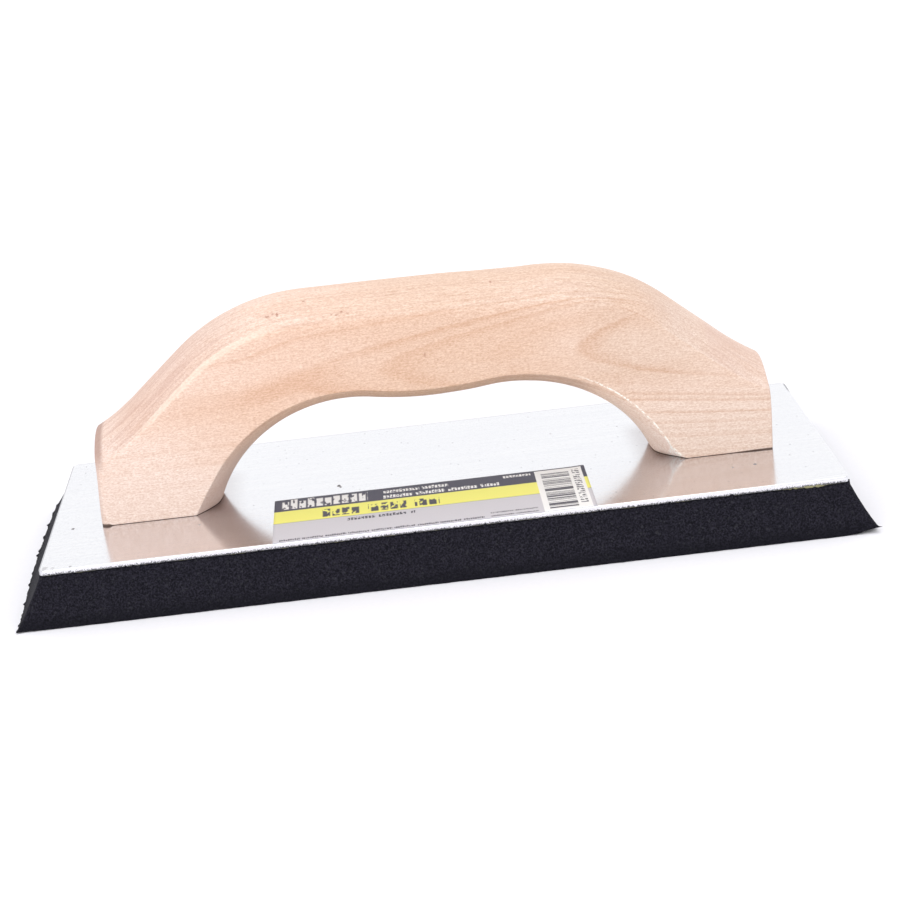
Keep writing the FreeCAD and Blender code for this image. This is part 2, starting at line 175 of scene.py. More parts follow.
# How far the arches' edges run out towards the plate and from what height, the same for the
# rounded corner of the right foot, how far the lowest edges are eased, and how the sanding wanders.
RUNOUT, RUNOUT_HEIGHT = 1.4, 10.0
CORNER_OFF, CORNER_OFF_HEIGHT = 1.8, 1.9
EASE = 0.15
WANDER = 0.05

# Where the points of a side face lie, as shares of the way from the outside to the hand opening.
SIDE_ROWS = [0.004, 0.016, 0.06, 0.15, 0.27, 0.4, 0.52, 0.64, 0.76, 0.87, 0.945, 0.984, 0.996]


def outer_path(y, depth, rounding):
    """Half of one line of the handle's outside: up the end, over heel and shoulder to mid crest."""
    end_x = end_face_x(y, rounding)
    slope_dir = np.array([math.sin(SLOPE), math.cos(SLOPE)])
    shoulder = np.array([CREST_HALF, HEIGHT - SHOULDER_RADIUS])
    slope_top = shoulder + SHOULDER_RADIUS * slope_dir
    slope_run = (HEEL_START - slope_top[0]) / math.cos(SLOPE)
    slope_end = slope_top + slope_run * np.array([math.cos(SLOPE), -math.sin(SLOPE)])
    heel = slope_end + HEEL_RADIUS * slope_dir
    radius = HEEL_RADIUS + depth
    end_angle = math.asin((heel[0] - end_x) / radius)
    corner_z = heel[1] - radius * math.cos(end_angle)
    turn = math.pi / 2 - end_angle
    setback = END_CORNER * math.tan(turn / 2)
    path = [(end_x, z) for z in SOLE_HEIGHTS]
    for share in np.linspace(0.0, 1.0, 16)[1:]:
        path.append((end_x, SOLE_HEIGHTS[-1] + share * (corner_z - setback - SOLE_HEIGHTS[-1])))
    corner = (end_x - END_CORNER, corner_z - setback)
    path += arc(corner, END_CORNER, math.pi / 2 - np.linspace(0.0, turn, 6)[1:])
    path += arc(heel, -radius, np.linspace(end_angle + setback / radius, SLOPE, 13)[1:])
    for share in np.linspace(1.0, 0.0, 13)[1:]:
        path.append(slope_top + share * (slope_end - slope_top) - depth * slope_dir)
    path += arc(shoulder, SHOULDER_RADIUS - depth, np.linspace(SLOPE, 0.0, 41)[1:])
    for share in np.linspace(1.0, 0.0, 21)[1:]:
        path.append((share * CREST_HALF, HEIGHT - depth))
    return np.array(path)


def inner_path(depth, stations):
    """Half of one line of the hand opening: up the finger arch and along the palm swell."""
    radius = ARCH_RADIUS + depth
    meet = math.atan2(ARCH_X, BELLY_Z - ARCH_Z)
    belly_stations = 26
    arch_stations = stations - belly_stations - len(SOLE_HEIGHTS)
    rises = [math.asin((z - ARCH_Z) / radius) for z in SOLE_HEIGHTS]
    path = [(ARCH_X + radius * math.cos(a), z) for a, z in zip(rises, SOLE_HEIGHTS)]
    turns = math.pi / 2 - np.linspace(rises[-1], math.pi / 2 + meet, arch_stations + 1)[1:]
    path += arc((ARCH_X, ARCH_Z), radius, turns)
    turns = math.pi - np.linspace(meet, 0.0, belly_stations + 1)[1:]
    path += arc((0.0, BELLY_Z), BELLY_RADIUS - depth, turns)
    return np.array(path)


def mirrored(path):
    """Whole line from half of one: the right half runs back down on the left."""
    left = path[-2::-1] * np.array([-1.0, 1.0])
    return np.concatenate([path, left])


def station_lines(profile, path, rounding):
    """The handle's skin with one edge rounding, as an array of station, column, (x, y, z)."""
    columns = section(profile, rounding)
    lines = [mirrored(path(y, depth, rounding)) for y, depth in columns]
    sides = np.broadcast_to(columns[:, 0], (len(lines[0]), len(columns)))
    lines = np.stack(lines, axis=1)
    return np.stack([lines[:, :, 0], sides, lines[:, :, 1]], axis=2)


def work_by_hand(points):
    """Bring the even skin to the real board: sag, skew ends, run-out and eased edges, sanding."""
    x, y, z = points[:, 0], points[:, 1], points[:, 2]
    left_shift = -np.interp(z, END_HEIGHTS, LEFT_END)
    right_shift = np.interp(z, END_HEIGHTS, RIGHT_END)
    end_shift = np.where(x < 0.0, left_shift, right_shift) * smooth_step((np.abs(x) - 84.0) / 13.0)
    z -= np.interp(x, SAG_X, SAG) * smooth_step((z - 6.0) / 15.0)
    x += end_shift

    # The edges of the finger arches run out wider over the last centimetre above the plate, and
    # the inner corner of the right foot is rounded off.
    right_foot = smooth_step((x - FOOT_START) / 5.0)
    runout = RUNOUT * np.clip(1.0 - z / RUNOUT_HEIGHT, 0.0, 1.0) ** 1.5
    runout += CORNER_OFF * right_foot * np.clip(1.0 - z / CORNER_OFF_HEIGHT, 0.0, 1.0) ** 2
    runout *= smooth_step((np.abs(y) - 5.0) / 10.0) * smooth_step((90.0 - np.abs(x)) / 18.0)
    x += np.where(np.abs(x) > FOOT_START, np.sign(x) * runout, 0.0)

    # The lowest edges are eased, so that a thin dark line shows where each foot stands on the plate.
    foot = (np.abs(x) > FOOT_START) & (z < SOLE_HEIGHTS[-1] - 1e-6)
    ease = EASE * np.clip(1.0 - z / SOLE_HEIGHTS[-1], 0.0, 1.0) ** 1.6
    from_middle = np.abs(x) - FOOT_MIDDLE
    edge_x = np.where(from_middle > 0.0, np.abs(x) - ease, np.abs(x) + ease)
    near_side = (np.abs(y) > HALF_WIDTH - 1e-3) & (np.abs(from_middle) < 15.0)
    x[:] = np.where(foot & ~near_side, np.sign(x) * edge_x, x)
    side = HALF_WIDTH - ease
    y[:] = np.where(foot, np.clip(y, -side, side), y)

    # Hand-sanded: the surface wanders by a few hundredths of a millimetre.
    wander = np.abs(WANDER * wobble(x + 0.6 * z, 31.0, SEED))
    lean = np.clip(np.abs(y) / HALF_WIDTH, 0.0, 1.0)
    y -= np.sign(y) * lean * wander
    z -= np.where(z > 20.0, wander * (1.0 - lean), 0.0)
    z[:] = np.clip(z + PLATE_TOP, PLATE_TOP, HANDLE_HIGH[2])


def sole_grid(points, base, columns, count):
    """Point numbers of a sole, row by row from its outer to its inner line.  Adds the points inside."""
    grid = []
    for row in range(len(SIDE_ROWS) + 2):
        line = []
        for j in range(columns):
            opposite = base + columns + len(SIDE_ROWS) + (columns - 1 - j)
            if row == 0:
                line.append(base + j)
            elif row == len(SIDE_ROWS) + 1:
                line.append(opposite)
            elif j == columns - 1:
                line.append(base + columns + row - 1)
            elif j == 0:
                line.append(base + count - row)
            else:
                start, end = points[base + j], points[opposite]
                points.append(start + (end - start) * SIDE_ROWS[row - 1])
                line.append(len(points) - 1)
        grid.append(line)
    return grid


def build_handle(material):
    crisp = station_lines(CROWN_RADIUS, outer_path, CRISP_EDGE)
    rounded_over = station_lines(CROWN_RADIUS, outer_path, SANDED_EDGE)
    middle_x = crisp[:, crisp.shape[1] // 2, 0]
    worn = np.interp(middle_x, WEAR_X, WEAR)[:, None, None]
    outer = crisp * (1.0 - worn) + rounded_over * worn
    stations, columns = outer.shape[:2]
    half = (stations + 1) // 2
    inner = station_lines(GRIP_RADIUS, lambda y, depth, rounding: inner_path(depth, half), GRIP_EDGE)
    shares = np.array(SIDE_ROWS)[:, None]
    points = []
    for top, low in zip(outer, inner):
        points.append(top)
        points.append(top[-1] * (1.0 - shares) + low[-1] * shares)
        points.append(low[::-1])
        points.append(low[0] * shares[::-1] + top[0] * (1.0 - shares[::-1]))
    points = np.concatenate(points)
    count = len(points) // stations
    work_by_hand(points)

    faces = ring_faces(stations, count)
    points = list(points)
    for ring, flip in ((0, False), (stations - 1, True)):
        grid = sole_grid(points, ring * count, columns, count)
        for row, following in zip(grid, grid[1:]):
            for j in range(columns - 1):
                quad = [row[j], row[j + 1], following[j + 1], following[j]]
                faces.append(quad if flip else quad[::-1])
    new_piece("handle", points, faces, material, "wooden_handle")


# -------- node helpers

class Finish:
    """A node material under construction.  Lengths inside it are millimetres."""

    def __init__(self, name):
        self.material = bpy.data.materials.new(name)
        self.material.use_nodes = True
        self.tree = self.material.node_tree
        self.tree.nodes.clear()
        coordinates = self.tree.nodes.new("ShaderNodeTexCoord")
        self.place = self.vector("SCALE", coordinates.outputs["Object"], scale=1.0 / MM)
        self.x, self.y, self.z = self.split(self.place)

    def put(self, socket, value):
        if isinstance(value, bpy.types.NodeSocket):
            self.tree.links.new(value, socket)
        elif value is not None:
            socket.default_value = value

    def fill(self, made, **values):
        """Set or link a node's inputs by name, with _ for a space."""
        for key, value in values.items():
            self.put(made.inputs[key.replace("_", " ")], value)

    def node(self, kind, **settings):
        made = self.tree.nodes.new(kind)
        for key, value in settings.items():
            setattr(made, key, value)
        return made

    def math(self, operation, a, b=None, c=None, clamp=False):
        made = self.node("ShaderNodeMath", operation=operation, use_clamp=clamp)
        for socket, value in zip(made.inputs, (a, b, c)):
            self.put(socket, value)
        return made.outputs[0]

    def product(self, value, *factors):
        """All the values multiplied together."""
        for factor in factors:
            value = self.math("MULTIPLY", value, factor)
        return value

    def scaled(self, value, factor, base, clamp=False):
        """Value times factor, plus base."""
        return self.math("MULTIPLY_ADD", value, factor, base, clamp)

    def less(self, a, b):
        return self.math("SUBTRACT", a, b)

    def steps(self, value):
        """Whole part of a value, and the rest."""
        whole = self.math("FLOOR", value)
        return whole, self.less(value, whole)

    def highest(self, value, *others):
        for other in others:
            value = self.math("MAXIMUM", value, other)
        return value

    def swing(self, value):
        """Noise that lies between 0 and 1, moved to lie on both sides of zero."""
        return self.less(value, 0.5)

    def vector(self, operation, a, b=None, scale=None):
        made = self.node("ShaderNodeVectorMath", operation=operation)
        self.put(made.inputs[0], a)
        self.put(made.inputs[1], b)
        if scale is not None:
            self.put(made.inputs["Scale"], scale)
        return made.outputs[0]

    def length(self, a, b):
        """Length of the plane vector (a, b)."""
        return self.math("SQRT", self.math("ADD", self.product(a, a), self.product(b, b)))

    def from_centre(self, a, b, centre, half):
        """Distance of the place (a, b) from a spot's centre, in units of the spot's half sizes."""
        shares = []
        for value, middle, reach in zip((a, b), centre, half):
            shares.append(self.math("DIVIDE", self.less(value, middle), reach))
        return self.length(*shares)

    def split(self, vector):
        made = self.node("ShaderNodeSeparateXYZ")
        self.put(made.inputs[0], vector)
        return made.outputs

    def join(self, x=0.0, y=0.0, z=0.0):
        made = self.node("ShaderNodeCombineXYZ")
        for socket, value in zip(made.inputs, (x, y, z)):
            self.put(socket, value)
        return made.outputs[0]

    def stretched(self, x, y, z):
        """Place multiplied by a factor on each axis: a small factor draws the pattern out."""
        return self.vector("MULTIPLY", self.place, (x, y, z))

    def noise(self, vector, scale=1.0, detail=2.0, roughness=0.5):
        made = self.node("ShaderNodeTexNoise")
        self.fill(made, Vector=vector, Scale=scale, Detail=detail, Roughness=roughness)
        return made.outputs["Fac"]

    def cells(self, vector, scale=1.0):
        """Distance to the nearest of the scattered points, and that point's own random number."""
        made = self.node("ShaderNodeTexVoronoi")
        self.fill(made, Vector=vector, Scale=scale)
        return made.outputs["Distance"], self.split(made.outputs["Color"])[0]

    def random(self, value):
        made = self.node("ShaderNodeTexWhiteNoise", noise_dimensions="1D")
        self.fill(made, W=value)
        return made.outputs["Value"]

    def band(self, value, low, high, new_low=0.0, new_high=1.0):
        """Smooth change from new_low to new_high as value goes from low to high."""
        made = self.node("ShaderNodeMapRange", interpolation_type="SMOOTHSTEP")
        self.fill(made, Value=value, From_Min=low, From_Max=high, To_Min=new_low, To_Max=new_high)
        return made.outputs[0]

    def ramp(self, value, stops):
        """Grey level through stops of (position, level)."""
        made = self.node("ShaderNodeValToRGB")
        elements = made.color_ramp.elements
        while len(elements) < len(stops):
            elements.new(0.5)
        for element, (position, level) in zip(elements, stops):
            element.position = position
            element.color = (level, level, level, 1.0)
        self.put(made.inputs[0], value)
        return made.outputs[0]

    def mix(self, share, a, b, blend="MIX"):
        made = self.node("ShaderNodeMix", data_type="RGBA", blend_type=blend)
        self.put(made.inputs[0], share)
        for socket, value in ((made.inputs[6], a), (made.inputs[7], b)):
            self.put(socket, value if isinstance(value, bpy.types.NodeSocket) else (*value, 1.0))
        return made.outputs[2]

    def paint(self, colour, *shares):
        """Lay a colour over the finish, as far as the product of the shares says."""
        self.colour = self.mix(self.product(*shares), self.colour, colour)

    def tint(self, factor, *shares):
        """Multiply the finish's colour, as far as the product of the shares says."""
        self.colour = self.mix(self.product(*shares), self.colour, factor, "MULTIPLY")

    def bump(self, height, strength, distance):
        made = self.node("ShaderNodeBump")
        self.fill(made, Height=height, Strength=strength, Distance=distance * MM)
        return made.outputs[0]

    def finish(self, **inputs):
        shader = self.node("ShaderNodeBsdfPrincipled")
        self.fill(shader, Base_Color=self.colour, **inputs)
        output = self.node("ShaderNodeOutputMaterial")
        self.tree.links.new(shader.outputs[0], output.inputs["Surface"])
        return self.material


# -------- materials

# Growth rings that stand out on the front face: (ring radius from the pith in mm, darkness).
RING_LINES = [
    (32.7, 0.70), (34.2, 0.2), (35.5, 0.6), (36.4, 0.8), (38.5, 0.75),
    (40.5, 0.45), (43.4, 0.45), (48.0, 0.4),
]
RING_SPAN = (31.0, 51.0)
RING_PITCH = 1.3

# Small bark flecks: (x, height above the plate, half length, half height, darkness).
FLECKS = [
    (-43.6, 56.1, 0.8, 0.30, 0.8), (-42.0, 56.6, 0.5, 0.35, 0.6), (-40.6, 56.4, 0.5, 0.45, 0.9),
    (-42.6, 55.4, 0.6, 0.20, 0.5), (-27.6, 54.9, 0.7, 0.20, 0.5), (-25.2, 55.3, 0.5, 0.25, 0.6),
    (-23.8, 55.0, 0.8, 0.25, 0.7), (-22.2, 55.6, 0.5, 0.30, 0.8), (-20.6, 55.2, 0.5, 0.20, 0.5),
    (0.0, 40.7, 0.35, 0.9, 0.6), (3.5, 38.8, 0.3, 0.5, 0.45),
    (-32.8, 58.5, 0.6, 0.25, 0.6), (21.1, 57.9, 0.4, 0.25, 0.8),
]


def ring_stops():
    """Ramp that darkens slowly towards each ring line and clears at once past it."""
    low, high = RING_SPAN
    stops = [(0.0, 0.0)]
    for radius, darkness in RING_LINES:
        at = (radius - low) / (high - low)
        stops += [(at - 0.026, 0.06 * darkness), (at - 0.004, darkness), (at + 0.006, 0.0)]
    return stops


def growth_rings(f, height):
    """Darkness of the growth rings: the lines listed above, with faint rings between them."""
    # Distance from the pith, which runs behind the board, comes nearer towards +X and is bent
    # downwards at the left.
    steps = f.product(f.x, 1 / 50)
    pith = f.less(35.0, f.product(steps, 2.17))
    pith = f.less(pith, f.product(steps, steps, 0.5))
    pith = f.math("MINIMUM", pith, 36.33)
    across = f.math("ADD", f.math("ADD", f.y, HALF_WIDTH), pith)
    pith_height = f.band(f.x, -56.0, -34.0, 32.9, 37.4)
    rings = f.length(across, f.less(height, pith_height))
    sway = f.noise(f.stretched(0.03, 0.09, 0.09), detail=3.0)
    rings = f.scaled(f.swing(sway), 0.34, rings)
    ripple = f.noise(f.stretched(0.25, 0.9, 0.9), detail=2.0)
    rings = f.scaled(f.swing(ripple), 0.14, rings)

    low, high = RING_SPAN
    share = f.math("DIVIDE", f.less(rings, low), high - low)
    under_crown = f.product(f.band(f.x, 56.0, 66.0), f.band(height, 28.5, 32.0))
    right_end = f.product(f.band(f.x, 52.0, 84.0, 0.0, 0.55), f.band(height, 18.0, 22.0))
    faded = f.highest(under_crown, right_end)
    strong = f.product(f.ramp(share, ring_stops()), f.scaled(faded, -0.85, 1.0))
    ordinal, grown = f.steps(f.math("DIVIDE", rings, RING_PITCH))
    growth = f.math("POWER", grown, 2.6)
    faint = f.product(growth, f.random(ordinal), f.band(rings, 37.0, 40.0, 0.15, 0.55))
    patchy = f.band(f.noise(f.stretched(0.02, 0.12, 0.12), detail=2.0), 0.30, 0.60, 0.65, 1.0)
    left_weaker = f.band(f.x, -74.0, -42.0, 0.45, 1.0)
    right_stronger = f.band(f.x, 54.0, 70.0, 1.0, 1.25)
    return f.product(f.highest(strong, faint), patchy, left_weaker, right_stronger)


def bark_flecks(f, height):
    smear = f.swing(f.noise(f.stretched(1.7, 1.7, 2.3), detail=3.0, roughness=0.7))
    smear = f.product(smear, 2.6)
    marks = []
    for x, z, half_x, half_z, darkness in FLECKS:
        away = f.from_centre(f.x, height, (x, z), (half_x, half_z))
        marks.append(f.band(f.math("ADD", away, smear), 1.15, 0.30, 0.0, darkness))
    return f.highest(*marks)


def torn_fibres(f, height):
    """Torn, bleached fibres along the edge of the finger arch beside the right foot."""
    from_arch_centre = f.length(f.less(f.x, ARCH_X), f.less(height, ARCH_Z))
    rim = ARCH_RADIUS + GRIP_RADIUS - math.sqrt(GRIP_RADIUS ** 2 - HALF_WIDTH ** 2)
    off_rim = f.math("ABSOLUTE", f.less(from_arch_centre, rim + 0.35))
    half_width = f.band(height, 5.0, 0.5, 0.34, 2.4)
    torn = f.band(f.math("DIVIDE", off_rim, half_width), 1.0, 0.4)
    fuzz = f.band(f.noise(f.stretched(1.3, 1.7, 1.7), detail=3.0, roughness=0.7), 0.42, 0.56)
    return f.product(torn, fuzz, f.band(f.x, 38.0, 54.0))


def wood():
    f = Finish("pale_hardwood")
    height = f.less(f.z, PLATE_TOP)
    front = f.math("LESS_THAN", f.y, 0.0)
    dark = growth_rings(f, height)

    # Fibres run along X, so they show as dashes on the faces and as dots on the end grain.
    fibres = f.noise(f.stretched(0.34, 2.4, 2.4), detail=3.0, roughness=0.68)
    speckle = f.noise(f.stretched(1.25, 2.6, 2.6), detail=2.0, roughness=0.75)
    flame = f.noise(f.stretched(0.016, 0.10, 0.10), detail=3.0)
    pore_dots = f.band(f.noise(f.stretched(0.7, 5.0, 5.0), detail=1.0), 0.64, 0.74)

    # The board is warmer in the middle and paler towards both feet.
    reach = f.math("ABSOLUTE", f.math("ADD", f.x, 4.0))
    pale = f.product(f.band(reach, 22.0, 80.0), 0.55)
    pale = f.scaled(f.band(height, 32.0, 6.0), 0.55, pale)
    pale = f.scaled(f.swing(flame), 1.5, pale, clamp=True)
    f.colour = f.mix(pale, (0.795, 0.557, 0.432), (0.880, 0.698, 0.602))
    f.paint((0.66, 0.385, 0.250), dark, 0.68)

    shade = f.scaled(f.swing(fibres), 1.8, 0.5)
    shade = f.scaled(f.swing(speckle), 2.8, shade, clamp=True)
    darker = f.mix(1.0, f.colour, (0.84, 0.77, 0.73), "MULTIPLY")
    lighter = f.mix(1.0, f.colour, (1.08, 1.14, 1.19), "MULTIPLY")
    f.colour = f.mix(shade, darker, lighter)
    f.paint((0.60, 0.36, 0.25), pore_dots, 0.24)

    # Painted shade, as for light from the left: it is a little darker and browner from its middle to
    # the right end, most of all at the right shoulder.
    f.tint((0.945, 0.945, 0.925), f.band(f.x, -50.0, 10.0))
    shoulder = f.product(f.band(f.x, 38.0, 56.0), f.band(f.x, 90.0, 70.0), f.band(height, 20.0, 30.0))
    f.tint((0.935, 0.92, 0.90), shoulder)

    # End grain drinks more light than the long grain and the underside is darkened as painted shade,
    # but neither in the arch beside the right foot, whose left-facing inside is lightened as painted
    # light.
    normal = f.split(f.node("ShaderNodeNewGeometry").outputs["Normal"])
    lit_right_arch = f.product(f.band(f.x, 40.0, 50.0), f.band(f.x, 84.0, 80.0))
    end = f.band(f.math("ABSOLUTE", normal[0]), 0.25, 0.90)
    end = f.product(end, f.band(lit_right_arch, 0.0, 1.0, 0.50, 0.0))
    f.paint((0.66, 0.46, 0.39), end)
    # Painted shade on the surfaces that face down.
    below = f.product(f.band(normal[2], -0.2, -0.8), f.band(lit_right_arch, 0.0, 1.0, 0.62, 0.0))
    f.tint((0.84, 0.83, 0.83), below)
    # Painted light on the inside of the right foot's arch, which faces left.
    painted_light_in_arch = f.product(lit_right_arch, f.band(normal[0], -0.15, -0.5))
    f.tint((1.16, 1.18, 1.19), painted_light_in_arch)

    # The crown's crest is painted paler, as light from above, and its left slope greyer, as painted
    # shade; the round-over cutter has burnished it in streaks.
    facing = f.math("ABSOLUTE", normal[1])
    crown = f.band(facing, 0.97, 0.86)
    f.tint((1.03, 1.09, 1.14), crown, f.band(height, 46.0, 56.0))
    f.tint((0.94, 0.95, 0.965), crown, f.band(f.x, -44.0, -62.0))
    # Painted sheen: the right slope is tinted bluer.
    right_slope_sheen = f.product(f.band(facing, 0.90, 0.70), f.band(f.x, 56.0, 74.0))
    f.tint((0.98, 1.01, 1.05), right_slope_sheen)
    streaks = f.noise(f.stretched(0.03, 1.3, 0.03), detail=4.0, roughness=0.65)
    burnished = f.product(crown, f.band(height, 18.0, 26.0), f.band(f.x, -66.0, -44.0, 1.0, 0.55))
    streak = f.product(burnished, f.band(streaks, 0.44, 0.62, 0.0, 0.8))
    f.tint((0.86, 0.79, 0.78), streak)

    # A painted highlight runs along the crown's rounded edge on the left slope, and the left heel's
    # corner is dirty.
    edge = f.product(f.band(facing, 0.985, 0.93), f.band(facing, 0.70, 0.78))
    rounded_over = f.product(edge, f.band(height, 22.0, 34.0), f.band(f.x, -36.0, -52.0))
    f.paint((0.97, 0.83, 0.70), rounded_over, 0.40)
    corner = f.product(f.band(f.x, -95.4, -97.0), f.band(height, 15.0, 22.0))
    f.paint((0.40, 0.26, 0.22), corner, 0.80)

    f.paint((0.42, 0.20, 0.14), bark_flecks(f, height), front, 0.9)
    torn = f.product(torn_fibres(f, height), front)
    f.paint((1.0, 0.97, 0.91), torn, 0.9)

    # A dark line of dirt and shadow where the feet meet the plate, widest at their outer ends.
    left_end = f.band(f.x, -95.6, -97.3, 0.18, 0.80)
    right_end = f.band(f.x, 84.0, 96.0, 0.18, 0.50)
    joint = f.band(f.math("DIVIDE", height, f.highest(left_end, right_end)), 1.0, 0.55)
    f.paint((0.085, 0.050, 0.038), joint, 0.9)

    grain = f.scaled(speckle, 0.5, fibres)
    grain = f.scaled(pore_dots, -0.4, grain)
    grain = f.scaled(torn, 1.2, grain)
    grain = f.scaled(dark, -0.15, grain)
    grain = f.scaled(f.product(streaks, burnished), 1.5, grain)
    rough = f.band(fibres, 0.3, 0.7, 0.62, 0.80)
    return f.finish(Roughness=rough, Specular_IOR_Level=0.20, Normal=f.bump(grain, 0.40, 0.10))


# Dark specks and dents on the plate: (x, y, radius, darkness).
SPECKS = [
    (-107.8, -14.0, 0.50, 0.85), (-29.6, -3.7, 0.60, 0.85), (91.0, -26.2, 0.50, 0.75),
    (84.4, -26.6, 0.35, 0.45), (102.1, -22.0, 0.35, 0.25), (-29.1, -4.9, 0.40, 0.80),
    (-112.6, -42.9, 0.80, 0.35), (-110.3, -43.4, 0.60, 0.25), (-105.3, -43.6, 0.40, 0.55),
    (-70.2, -22.6, 0.30, 0.35), (57.0, 20.5, 0.35, 0.25), (36.4, 21.0, 0.40, 0.25),
]


def plate_specks(f, pits):
    ragged = f.product(f.swing(pits), 1.8)
    marks = []
    for x, y, radius, darkness in SPECKS:
        away = f.from_centre(f.x, f.y, (x, y), (radius, radius * 1.6))
        marks.append(f.band(f.math("ADD", away, ragged), 1.05, 0.75, 0.0, darkness))
    return f.highest(*marks)


def aluminium():
    f = Finish("brushed_aluminium")
    strokes = f.noise(f.stretched(0.030, 1.8, 1.8), detail=4.0, roughness=0.62)
    hairlines = f.noise(f.stretched(0.05, 6.0, 6.0), detail=2.0)
    clouds = f.noise(f.stretched(0.03, 0.05, 0.05), detail=3.0)
    pits = f.noise(f.place, scale=1.1, detail=3.0, roughness=0.7)
    specks = plate_specks(f, pits)
    distance, own = f.cells(f.stretched(0.44, 0.27, 0.0))
    dust = f.product(f.band(distance, 0.17, 0.07), f.math("GREATER_THAN", own, 0.60),
                     f.band(clouds, 0.36, 0.58, 0.30, 1.0))

    f.colour = f.mix(f.band(strokes, 0.35, 0.65), (0.768, 0.774, 0.808), (0.806, 0.810, 0.834))
    f.paint((0.770, 0.775, 0.812), f.band(clouds, 0.40, 0.66), 0.5)
    mottled = f.product(f.band(pits, 0.42, 0.70), f.band(f.x, -90.0, -50.0, 0.30, 0.20))
    f.paint((0.62, 0.62, 0.66), mottled)
    f.paint((0.36, 0.35, 0.39), dust, 0.40)

    # Painted shade and dark reflection on the rolled edges at the left, the back and the far right
    # corner.
    left = f.band(f.x, PLATE_LOW[0] + 0.60, PLATE_LOW[0] + 0.35)
    back = f.band(f.y, PLATE_HIGH[1] - 0.9, PLATE_HIGH[1] - 0.5, 0.0, 0.6)
    right = f.band(f.x, PLATE_HIGH[0] - 0.9, PLATE_HIGH[0] - 0.3)
    far_corner = f.product(right, f.band(f.y, 33.0, 38.0))
    rolled_edge_shade = f.highest(f.product(f.highest(left, back), 0.60), far_corner)
    f.paint((0.12, 0.12, 0.14), rolled_edge_shade, 0.85)
    f.paint((0.09, 0.08, 0.09), specks)

    # Painted reflection and shade of the inner end of each foot darken the metal beside it.
    beside = f.less(f.math("ABSOLUTE", f.x), 65.0)
    dark_patch = f.product(f.band(beside, -9.0, -1.0), f.band(beside, 9.0, 1.0),
                      f.band(f.math("ABSOLUTE", f.y), 24.0, 12.0), f.band(f.x, -30.0, 30.0, 0.32, 0.46))
    f.paint((0.36, 0.31, 0.31), dark_patch)
    # A darker painted reflection of the foot's shaded inner face.
    foot_reflection = f.product(f.band(beside, -2.5, 0.5), f.band(beside, 5.5, 3.0),
                      f.band(f.y, -15.0, -9.0), f.band(f.y, 3.0, 0.0))
    f.paint((0.20, 0.14, 0.13), foot_reflection, 0.62)

    # A painted highlight lies along the front edge, with rubber crumbs and adhesive crept up its lower
    # half.
    lit_front_edge = f.band(f.y, PLATE_LOW[1] + 0.35, PLATE_LOW[1] + 0.05)
    f.paint((0.90, 0.90, 0.93), lit_front_edge, 0.8)
    crumbs = f.noise(f.place, scale=3.2, detail=2.0, roughness=0.7)
    crept = f.math("ADD", f.z, f.product(crumbs, -2.4))
    crept = f.product(f.band(crept, PLATE_TOP - 2.22, PLATE_TOP - 2.52), lit_front_edge)
    f.paint((0.030, 0.030, 0.038), crept, 0.90)
    rough = f.scaled(specks, 0.4, f.band(strokes, 0.3, 0.7, 0.13, 0.19))
    metal = f.less(1.0, f.product(specks, 0.9))
    relief = f.scaled(hairlines, 0.4, f.product(strokes, 0.3))
    relief = f.scaled(pits, 0.20, relief)
    return f.finish(Metallic=metal, Roughness=rough, Normal=f.bump(relief, 0.05, 0.04))


def rubber():
    f = Finish("cellular_rubber")
    distance, own = f.cells(f.place, scale=1.9)
    fine = f.noise(f.place, scale=2.1, detail=2.0, roughness=0.75)
    cloud = f.noise(f.place, scale=0.09, detail=4.0, roughness=0.6)
    scuffs = f.noise(f.stretched(0.9, 0.9, 0.12), detail=3.0)
    scuff = f.product(f.band(scuffs, 0.60, 0.74), f.band(cloud, 0.45, 0.6))

    f.colour = f.mix(f.band(fine, 0.36, 0.66), (0.0004, 0.0004, 0.0030), (0.0235, 0.0218, 0.0325))
    f.paint((0.0060, 0.0055, 0.0110), f.band(cloud, 0.35, 0.7, 0.0, 0.25))
    f.paint((0.045, 0.045, 0.052), f.band(own, 0.90, 1.0), 0.35)
    f.paint((0.040, 0.040, 0.046), scuff, 0.30)
    # Painted shade towards the bottom, where the pad stands on the floor.
    low = f.band(f.z, 4.5, 0.5)
    f.paint((0.0020, 0.0020, 0.0045), low, 0.55)
    height = f.scaled(distance, 0.7, f.product(fine, 0.8))
    rough = f.band(fine, 0.3, 0.7, 0.66, 0.86)
    return f.finish(Roughness=rough, Specular_IOR_Level=0.11, Normal=f.bump(height, 0.6, 0.25))


def glue():
    f = Finish("contact_glue")
    lumps = f.noise(f.stretched(0.5, 1.2, 1.2), detail=4.0, roughness=0.6)
    dark_patch = f.noise(f.place, scale=0.06, detail=2.0)
    f.colour = f.mix(f.band(lumps, 0.3, 0.7), (0.16, 0.15, 0.075), (0.42, 0.40, 0.20))
    f.paint((0.12, 0.11, 0.07), f.band(dark_patch, 0.4, 0.6, 0.0, 0.4))
    return f.finish(Roughness=f.band(lumps, 0.3, 0.7, 0.45, 0.7), Normal=f.bump(lumps, 0.6, 0.15))


def steel():
    f = Finish("zinc_plated_steel")
    passivated = f.noise(f.place, scale=0.8, detail=3.0)
    turned = f.noise(f.stretched(0.6, 0.6, 9.0), detail=2.0)
    f.colour = f.mix(f.band(passivated, 0.3, 0.7), (0.60, 0.60, 0.58), (0.72, 0.71, 0.66))
    rough = f.band(turned, 0.3, 0.7, 0.24, 0.42)
    return f.finish(Metallic=1.0, Roughness=rough, Normal=f.bump(turned, 0.2, 0.04))


NAVY, YELLOW, GREY = (0.055, 0.052, 0.085), (0.84, 0.82, 0.18), (0.545, 0.535, 0.575)
WHITE, INK = (0.84, 0.84, 0.84), (0.055, 0.053, 0.075)

